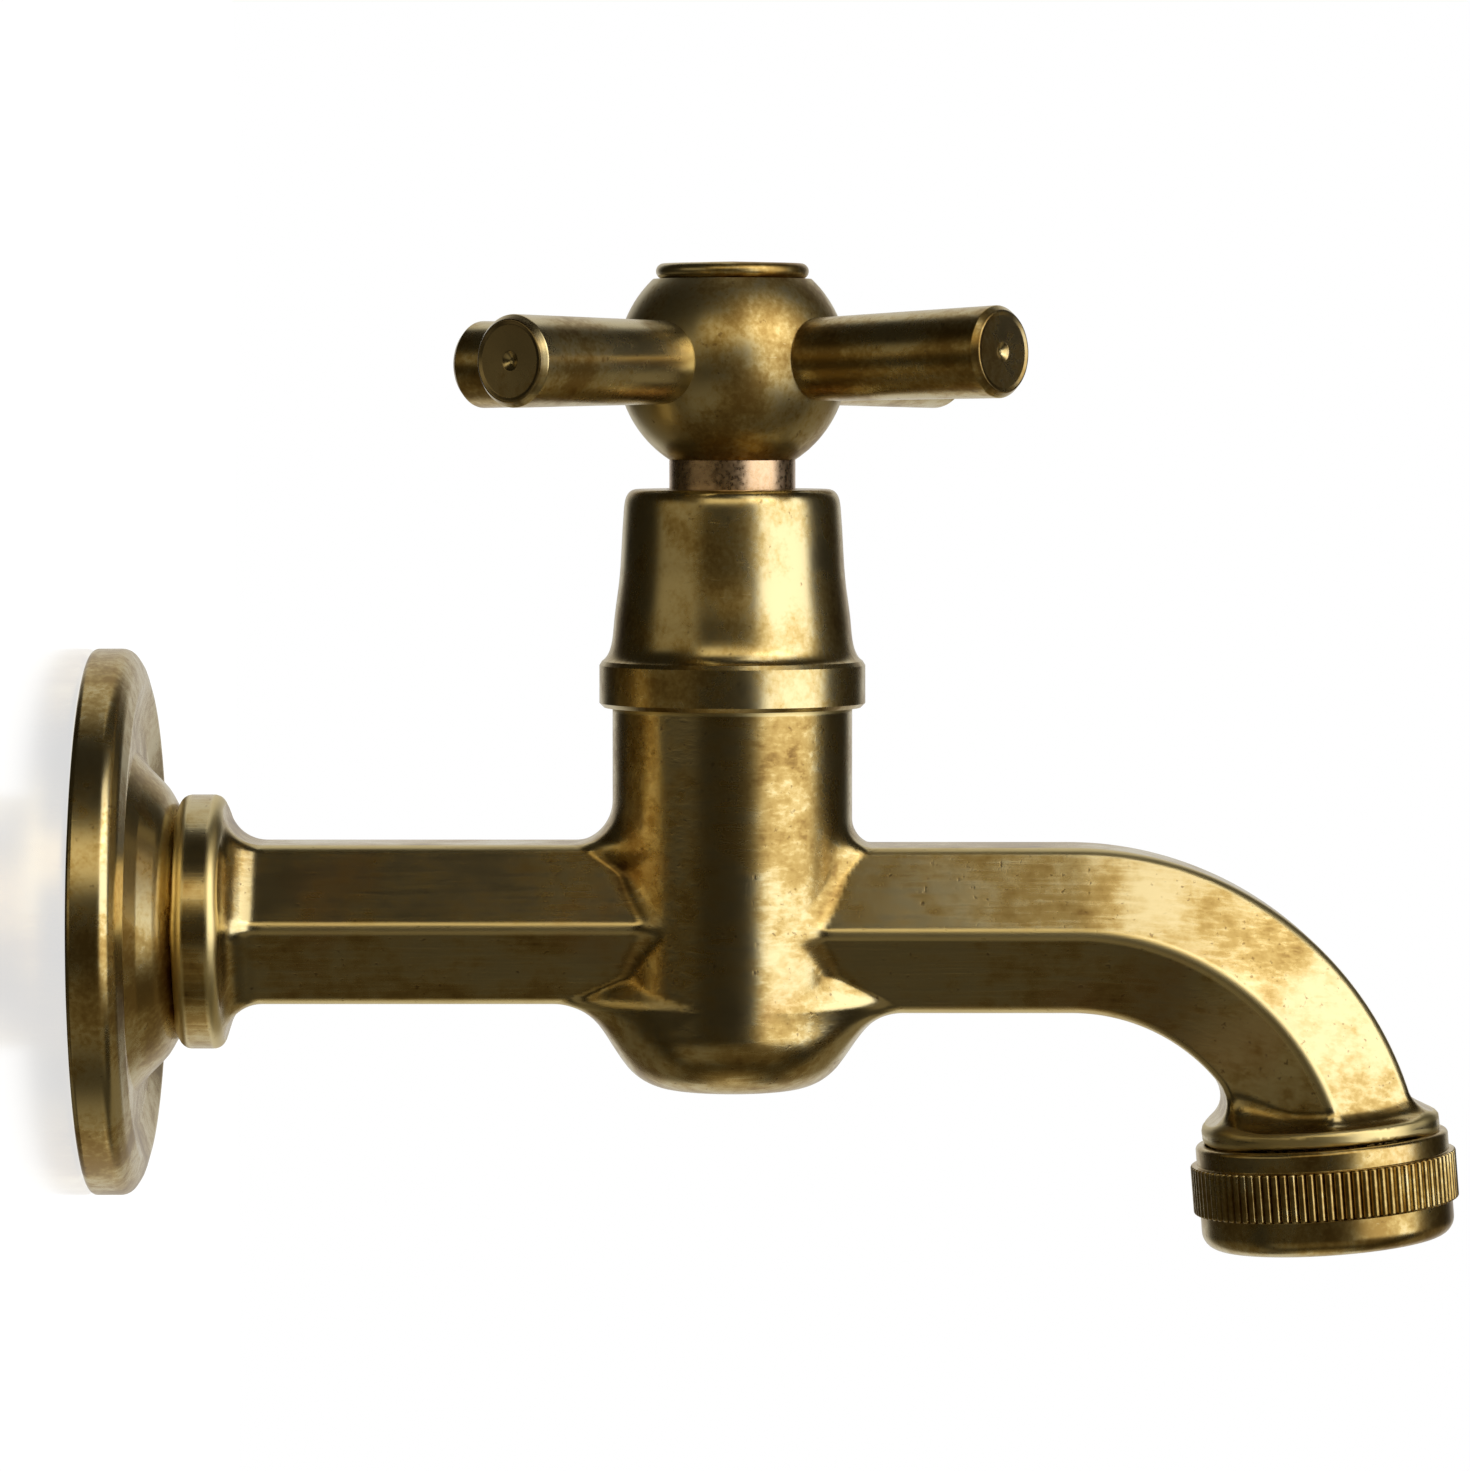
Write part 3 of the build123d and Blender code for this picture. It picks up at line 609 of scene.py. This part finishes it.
def cast_brass(name):
    """The casting: filed and rubbed, dark in its hollows, bright along its edges."""
    material, graph, shader, place = new_material(name)
    edge = graph.node("ShaderNodeAttribute", attribute_name="edge").outputs["Fac"]
    hollow = graph.node("ShaderNodeAttribute", attribute_name="hollow").outputs["Fac"]
    cloud = graph.noise(place, 70.0, 6.0, 0.62)
    mottle = graph.noise(place, 330.0, 5.0, 0.65)
    speck = graph.noise(place, 1300.0, 3.0)
    file_a = streaks(graph, place, (0.0, 0.95, 0.15), 90, 1500, 0.40, 0.72)
    file_b = streaks(graph, place, (0.1, 2.25, 0.0), 110, 1900, 0.52, 0.72)
    worn = graph.sway(cloud, mottle, 0.5, 0.55)
    worn = graph.sway(worn, file_a, 0.4, 0.10)
    worn = graph.sway(worn, file_b, 0.4, 0.06)
    rubbed = graph.ramp(edge, 0.03, 0.12)
    worn = graph.calc("ADD", worn, graph.calc("MULTIPLY", rubbed, 0.30))
    worn = graph.calc("SUBTRACT", worn, graph.ramp(hollow, -0.02, -0.14, 0.0, 0.16))
    colour = graph.blend(graph.ramp(worn, 0.36, 0.64), GOLD, BRIGHT)
    colour = graph.blend(graph.ramp(worn, 0.52, 0.24, 0.0, 0.9), colour, PATINA)
    colour = graph.blend(graph.ramp(worn, 0.34, 0.12), colour, UMBER)
    colour = graph.blend(graph.ramp(speck, 0.64, 0.73, 0.0, 0.6), colour, UMBER)
    coppery = graph.ramp(graph.noise(place, 50.0, 3.0), 0.58, 0.72, 0.0, 0.28)
    colour = graph.blend(coppery, colour, COPPER)
    colour = graph.blend(graph.calc("MULTIPLY", rubbed, 0.8), colour, RUBBED)
    graph.put(colour, shader.inputs["Base Color"])
    rough = graph.calc("ADD", graph.ramp(worn, 0.30, 0.70, 0.26, 0.17), graph.calc("MULTIPLY", rubbed, 0.20))
    graph.put(graph.calc("ADD", rough, graph.calc("MULTIPLY", mottle, 0.06)), shader.inputs["Roughness"])
    normal = graph.bump(graph.noise(place, 130.0, 1.0), 0.00008, 0.5)
    normal = graph.bump(mottle, 0.000008, 0.5, normal)
    normal = graph.bump(file_a, 0.000006, 0.5, normal)
    normal = graph.bump(file_b, 0.000006, 0.4, normal)
    normal = graph.bump(graph.ramp(speck, 0.62, 0.74, 1.0, 0.0), 0.000012, 0.6, normal)
    graph.put(normal, shader.inputs["Normal"])
    shader.inputs["Metallic"].default_value = 1.0
    return material


def machined(name, colour, darker, origin, axis, roughness=0.25, metallic=1.0):
    """Plain machined metal or moulded stuff with a fine grain round its axis."""
    material, graph, shader, place = new_material(name)
    grain = graph.noise(rings_round(graph, place, origin, axis, 1800), 1.0, 3.0)
    cloud = graph.noise(place, 140.0, 4.0)
    share = graph.calc("ADD", graph.calc("MULTIPLY", grain, 0.5), graph.calc("MULTIPLY", cloud, 0.5))
    graph.put(graph.blend(graph.ramp(share, 0.35, 0.65), darker, colour), shader.inputs["Base Color"])
    graph.put(graph.ramp(grain, 0.3, 0.7, roughness, roughness + 0.12), shader.inputs["Roughness"])
    graph.put(graph.bump(grain, 0.00003, 0.4), shader.inputs["Normal"])
    shader.inputs["Metallic"].default_value = metallic
    return material


valve_line = ((valve_x, 0, 0), (0, 0, 1))
inlet_line = ((0, 0, 0), (1, 0, 0))
outlet_line = (tuple(outlet_top), tuple(outlet_way))
raw_brass = machined("raw_brass", (0.70, 0.54, 0.26, 1), (0.52, 0.38, 0.16, 1), *valve_line)
rubber = machined("rubber", (0.030, 0.030, 0.030, 1), (0.012, 0.012, 0.012, 1), *valve_line, 0.55, 0.0)
outlet_rubber = machined(
    "outlet_rubber", (0.03, 0.03, 0.03, 1), (0.012, 0.012, 0.012, 1), *outlet_line, 0.55, 0.0)
steel = machined("steel", (0.60, 0.60, 0.61, 1), (0.42, 0.42, 0.43, 1), *valve_line)
screen_steel = machined("screen_steel", (0.60, 0.60, 0.61, 1), (0.42, 0.42, 0.43, 1), *outlet_line)
packing = machined("packing", (0.74, 0.73, 0.69, 1), (0.60, 0.59, 0.55, 1), *valve_line, 0.5, 0.0)
plastic = machined("white_plastic", (0.80, 0.80, 0.78, 1), (0.70, 0.70, 0.68, 1), *outlet_line, 0.35, 0.0)
bonnet_brass = turned_brass("bonnet_brass", *valve_line, polish=0.55, age=0.42, roughness=0.27)
hub_brass = turned_brass("hub_brass", *valve_line, polish=0.45, age=0.50, roughness=0.36)
sleeve_brass = machined("sleeve_brass", (0.72, 0.52, 0.34, 1), (0.45, 0.30, 0.17, 1), *valve_line, 0.24)
cast = cast_brass("cast_brass")

finishes = {
    "headwork": raw_brass, "headwork_gasket": rubber, "gland_packing": packing, "gland_follower": raw_brass,
    "gland_nut": raw_brass, "spindle": raw_brass, "spindle_sleeve": sleeve_brass, "jumper_valve": raw_brass,
    "jumper_washer": rubber, "jumper_nut": raw_brass, "handle_screw": steel, "outlet_washer": outlet_rubber,
    "flow_insert": plastic, "outlet_screen": screen_steel, "bonnet": bonnet_brass, "handle_hub": hub_brass,
    "handle_cap": turned_brass("cap_brass", *valve_line, polish=0.3, age=0.55, roughness=0.33),
}
dressed = {frame["nodes"][name]: material for name, material in finishes.items()}
dressed[pieces["casting"]] = cast
dressed[pieces["inlet_thread"]] = raw_brass
dressed[pieces["outlet_thread"]] = raw_brass
dressed[pieces["flange"]] = turned_brass("flange_brass", *inlet_line, polish=0.3, age=0.54, roughness=0.28)
dressed[pieces["nut"]] = turned_brass("nut_brass", *outlet_line, polish=0.3, age=0.50, roughness=0.28)
# painted light: the front-left arm gets a lighter, more polished copy of the arm brass than the others,
# standing in for the light it catches
painted_light_arm = 2
for number in range(4):
    heading = arm_heading(number)
    polish, age = (0.9, 0.42) if number == painted_light_arm else (0.4, 0.50)
    # each arm's end face gets painted shade, from half a millimetre short of its tip
    dressed[pieces[f"arm_{number + 1}"]] = turned_brass(
        f"arm_brass_{number + 1}", (valve_x, 0, hub_z), (cos(heading), sin(heading), 0),
        polish=polish, age=age, roughness=0.29, painted_shade_from=(arm_length - 0.5) * MM)
for piece, material in dressed.items():
    piece.data.materials.clear()
    piece.data.materials.append(material)

# ---- stage: white floor, white wall patch, soft boxes ---------------------------------------
def stage_plane(name, corners, material):
    mesh = bpy.data.meshes.new(name)
    mesh.from_pydata(corners, [], [(0, 1, 2, 3)])
    plane = bpy.data.objects.new(name, mesh)
    mesh.materials.append(material)
    bpy.context.scene.collection.objects.link(plane)
    return plane


def white(name, gloss=0.0):
    """A self-lit white that keeps a white studio white, with a sheen at grazing angles."""
    material = bpy.data.materials.new(name)
    material.use_nodes = True
    graph = Graph(material.node_tree)
    material.node_tree.nodes.remove(material.node_tree.nodes["Principled BSDF"])
    share = graph.ramp(graph.node("ShaderNodeLayerWeight").outputs["Facing"], 0.70, 0.86, 0.0, gloss)
    glow = graph.node("ShaderNodeEmission")
    graph.put(graph.calc("ADD", graph.calc("MULTIPLY", share, 0.75), 1.0), glow.inputs["Strength"])
    sheen = graph.node("ShaderNodeBsdfGlossy")
    sheen.inputs["Color"].default_value = (1, 1, 1, 1)
    sheen.inputs["Roughness"].default_value = 0.16
    mixed = graph.node("ShaderNodeMixShader")
    graph.put(share, mixed.inputs[0])
    graph.put(glow.outputs[0], mixed.inputs[1])
    graph.put(sheen.outputs[0], mixed.inputs[2])
    graph.put(mixed.outputs[0], material.node_tree.nodes["Material Output"].inputs["Surface"])
    return material


def one_sided(material):
    """Let a stage surface be seen from its front only."""
    graph = Graph(material.node_tree)
    result = material.node_tree.nodes["Material Output"].inputs["Surface"]
    front = result.links[0].from_socket
    mixed = graph.node("ShaderNodeMixShader")
    graph.put(graph.node("ShaderNodeNewGeometry").outputs["Backfacing"], mixed.inputs[0])
    graph.put(front, mixed.inputs[1])
    graph.put(graph.node("ShaderNodeBsdfTransparent").outputs[0], mixed.inputs[2])
    graph.put(mixed.outputs[0], result)
    return material


floor_z = -0.30
floor_reach = 6.0
wall_reach = 0.2
floor = stage_plane("floor", [
    (-floor_reach, -floor_reach, floor_z), (floor_reach, -floor_reach, floor_z),
    (floor_reach, floor_reach, floor_z), (-floor_reach, floor_reach, floor_z),
], one_sided(white("floor")))
wall = stage_plane("wall", [
    (0, -wall_reach, -wall_reach), (0, wall_reach, -wall_reach),
    (0, wall_reach, wall_reach), (0, -wall_reach, wall_reach),
], one_sided(white("wall", 0.5)))
for plane in (floor, wall):
    plane.visible_glossy = False
    plane.visible_diffuse = False


def studio_world():
    """White to the camera; to the metal a dim room with soft boxes, the key one on the right."""
    world = bpy.data.worlds.new("studio")
    world.use_nodes = True
    graph = Graph(world.node_tree)
    direction = graph.node("ShaderNodeTexCoord").outputs["Generated"]
    split = graph.node("ShaderNodeSeparateXYZ")
    graph.put(direction, split.inputs[0])
    azimuth = graph.calc("ARCTAN2", split.outputs["X"], graph.calc("MULTIPLY", split.outputs["Y"], -1.0))
    azimuth = graph.calc("MULTIPLY", azimuth, 180 / pi)
    elevation = graph.calc("MULTIPLY", graph.calc("ARCSINE", split.outputs["Z"]), 180 / pi)

    def panel(left, right, bottom, top, soft, strength):
        across = graph.calc("MULTIPLY", graph.ramp(azimuth, left - soft, left + soft),
                            graph.ramp(azimuth, right + soft, right - soft))
        upward = graph.calc("MULTIPLY", graph.ramp(elevation, bottom - soft, bottom + soft),
                            graph.ramp(elevation, top + soft, top - soft))
        return graph.calc("MULTIPLY", graph.calc("MULTIPLY", across, upward), strength)

    def total(*lights):
        result = lights[0]
        for light in lights[1:]:
            result = graph.calc("ADD", result, light)
        return result

    # angles are degrees from the camera's side, to the right and up
    key = panel(27, 85, -16, 38, 4, 2.15)
    behind = graph.calc("MULTIPLY", graph.ramp(graph.calc("ABSOLUTE", azimuth), 140, 158), 0.75)
    cool = total(key, behind)
    warm = total(
        panel(-82, -34, 1, 22, 6, 0.36),       # left fill
        panel(-34, 30, 21, 41, 5, 1.1),        # front, over the camera
        panel(101, 150, -60, -14, 6, 0.24),    # low on the right
        panel(-150, -82, -62, -18, 9, 0.12),   # low on the left
        panel(-60, 60, -50, -20, 8, 0.17),     # low in front
        graph.ramp(elevation, -66, -82, 0.0, 0.28),
        graph.ramp(elevation, -30, -55, 0.0, 0.04),
        0.022,
    )
    light = graph.vector("ADD", graph.scaled((1.0, 0.99, 0.97), cool), graph.scaled((1.0, 0.84, 0.52), warm))
    background = world.node_tree.nodes["Background"]
    seen = graph.node("ShaderNodeLightPath").outputs["Is Camera Ray"]
    graph.put(graph.blend(seen, light, (1, 1, 1, 1)), background.inputs["Color"])
    return world


bpy.context.scene.world = studio_world()


def soft_box(name, place, target, width, height, power, colour=(1, 0.95, 0.86)):
    data = bpy.data.lights.new(name, "AREA")
    data.shape = "RECTANGLE"
    data.size = width
    data.size_y = height
    data.energy = power
    data.color = colour
    lamp = bpy.data.objects.new(name, data)
    lamp.location = place
    lamp.rotation_euler = (Vector(target) - Vector(place)).to_track_quat("-Z", "Y").to_euler()
    bpy.context.scene.collection.objects.link(lamp)
    return lamp


# a near box over the spout, whose left edge stops beyond the valve
soft_box("over_spout", (0.272, -0.21, 0.30), (0.145, 0.0, 0.0), 0.26, 0.22, 0.30)

# ---- camera -------------------------------------------------------------------------------------
camera_data = bpy.data.cameras.new("camera")
camera_data.lens = 150
camera_data.sensor_width = 36
camera = bpy.data.objects.new("camera", camera_data)
camera.location = (valve_x * MM + 0.0003, -0.700, 0.0585)
camera.rotation_euler = (pi / 2 - radians(3.04), 0, 0)
bpy.context.scene.collection.objects.link(camera)
bpy.context.scene.camera = camera
bpy.context.scene.view_settings.view_transform = "Standard"
